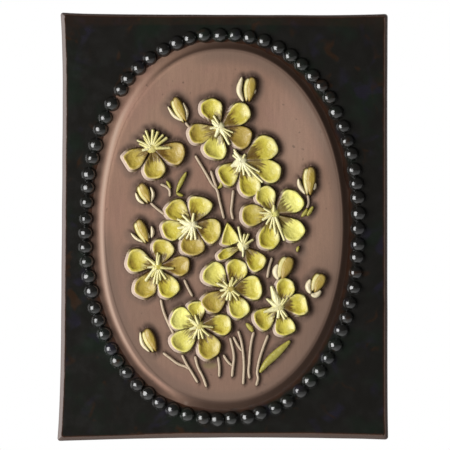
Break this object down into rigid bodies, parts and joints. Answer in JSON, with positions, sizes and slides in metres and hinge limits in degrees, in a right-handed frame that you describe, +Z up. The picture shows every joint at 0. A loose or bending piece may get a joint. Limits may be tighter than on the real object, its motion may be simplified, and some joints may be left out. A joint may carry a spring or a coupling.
{
  "type": "decorative wall plaque",
  "caption": "Rectangular stoneware wall plaque: dark glazed border, oval ring of beads and a raised oval medallion with a relief bouquet of yellow flowers and buds.",
  "frame": {"origin": "on the flat back face, behind the middle of the oval medallion", "axes": "+Z up along the long side, +X to the right as seen from the front, +Y out of the back towards the wall; the relief faces -Y"},
  "size_m": [0.1513, 0.0166, 0.1959],
  "materials": {
    "brown_clay": "bare fired stoneware, matte",
    "black_glaze": "thick near-black gloss glaze",
    "yellow_glaze": "thin satin yellow glaze, ochre where it pools"
  },
  "bodies": {
    "root": {"plaque": "brown_clay"}
  },
  "joints": []
}
